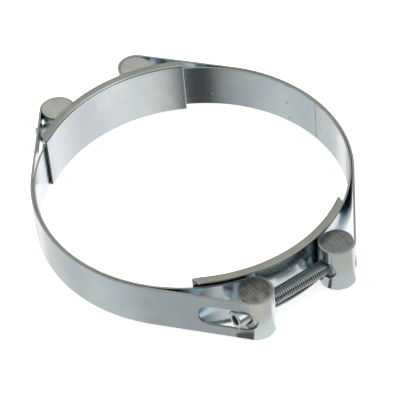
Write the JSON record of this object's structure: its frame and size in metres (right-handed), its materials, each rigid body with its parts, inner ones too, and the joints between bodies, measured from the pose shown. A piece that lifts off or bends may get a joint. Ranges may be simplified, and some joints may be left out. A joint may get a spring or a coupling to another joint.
{
  "type": "hose clamp",
  "caption": "Two-half heavy-duty band clamp for a large hose, drawn together by a socket-head bolt at each gap, with channel saddles bridging the gaps.",
  "frame": {"origin": "on the hose axis, half way up the saddles", "axes": "+Z along the hose axis, +X along the bolts from head to tip, gaps at -Y (front) and +Y (back)"},
  "size_m": [0.1692, 0.196, 0.0322],
  "materials": {
    "zinc_band": "zinc plated, blue passivated, semi-gloss",
    "zinc_saddle": "zinc plated, satin",
    "trunnion_steel": "zinc plated round bar with sawn ends",
    "bolt_steel": "zinc plated, semi-gloss"
  },
  "bodies": {
    "left_band": {"left_band": "zinc_band"},
    "right_band": {"right_band": "zinc_band"},
    "front_saddle": {"front_saddle": "zinc_saddle"},
    "back_saddle": {"back_saddle": "zinc_saddle"},
    "front_head_trunnion": {"front_head_trunnion": "trunnion_steel"},
    "back_head_trunnion": {"back_head_trunnion": "trunnion_steel"},
    "front_nut_trunnion": {"front_nut_trunnion": "trunnion_steel"},
    "back_nut_trunnion": {"back_nut_trunnion": "trunnion_steel"},
    "front_bolt": {"front_bolt": "bolt_steel"},
    "back_bolt": {"back_bolt": "bolt_steel"}
  },
  "joints": [
    {"name": "halves_close", "type": "slide", "parent": "left_band", "child": "right_band", "axis": [-1, 0, 0], "range_m": [-0.00156, 0.01719]},
    {"name": "front_bolt_turn", "type": "hinge", "parent": "left_band", "child": "front_bolt", "pos_m": [-0.026, -0.08822, -0.0015], "axis": [1, 0, 0], "range_deg": [-450, 4950]},
    {"name": "back_bolt_turn", "type": "hinge", "parent": "left_band", "child": "back_bolt", "pos_m": [-0.026, 0.08822, -0.0015], "axis": [1, 0, 0], "range_deg": [-450, 4950]},
    {"name": "front_saddle_slide", "type": "slide", "parent": "left_band", "child": "front_saddle", "axis": [-0.7809, 0.6247, 0], "range_m": [-0.001, 0.01101]},
    {"name": "back_saddle_slide", "type": "slide", "parent": "left_band", "child": "back_saddle", "axis": [-0.7809, -0.6247, 0], "range_m": [-0.001, 0.01101]},
    {"name": "front_head_trunnion_swivel", "type": "hinge", "parent": "left_band", "child": "front_head_trunnion", "pos_m": [-0.026, -0.08822, -0.0015], "axis": [0, 0, 1], "range_deg": [-2, 2]},
    {"name": "front_nut_trunnion_swivel", "type": "hinge", "parent": "right_band", "child": "front_nut_trunnion", "pos_m": [0.026, -0.08822, -0.0015], "axis": [0, 0, 1], "range_deg": [-0.5, 0.5]},
    {"name": "back_head_trunnion_swivel", "type": "hinge", "parent": "left_band", "child": "back_head_trunnion", "pos_m": [-0.026, 0.08822, -0.0015], "axis": [0, 0, 1], "range_deg": [-2, 2]},
    {"name": "back_nut_trunnion_swivel", "type": "hinge", "parent": "right_band", "child": "back_nut_trunnion", "pos_m": [0.026, 0.08822, -0.0015], "axis": [0, 0, 1], "range_deg": [-0.5, 0.5]}
  ],
  "couplings": [
    {"joint": "front_bolt_turn", "follows": "halves_close", "rad_per_m": 5026.5},
    {"joint": "back_bolt_turn", "follows": "halves_close", "rad_per_m": 5026.5},
    {"joint": "front_saddle_slide", "follows": "halves_close", "ratio": 0.64031},
    {"joint": "back_saddle_slide", "follows": "halves_close", "ratio": 0.64031}
  ]
}
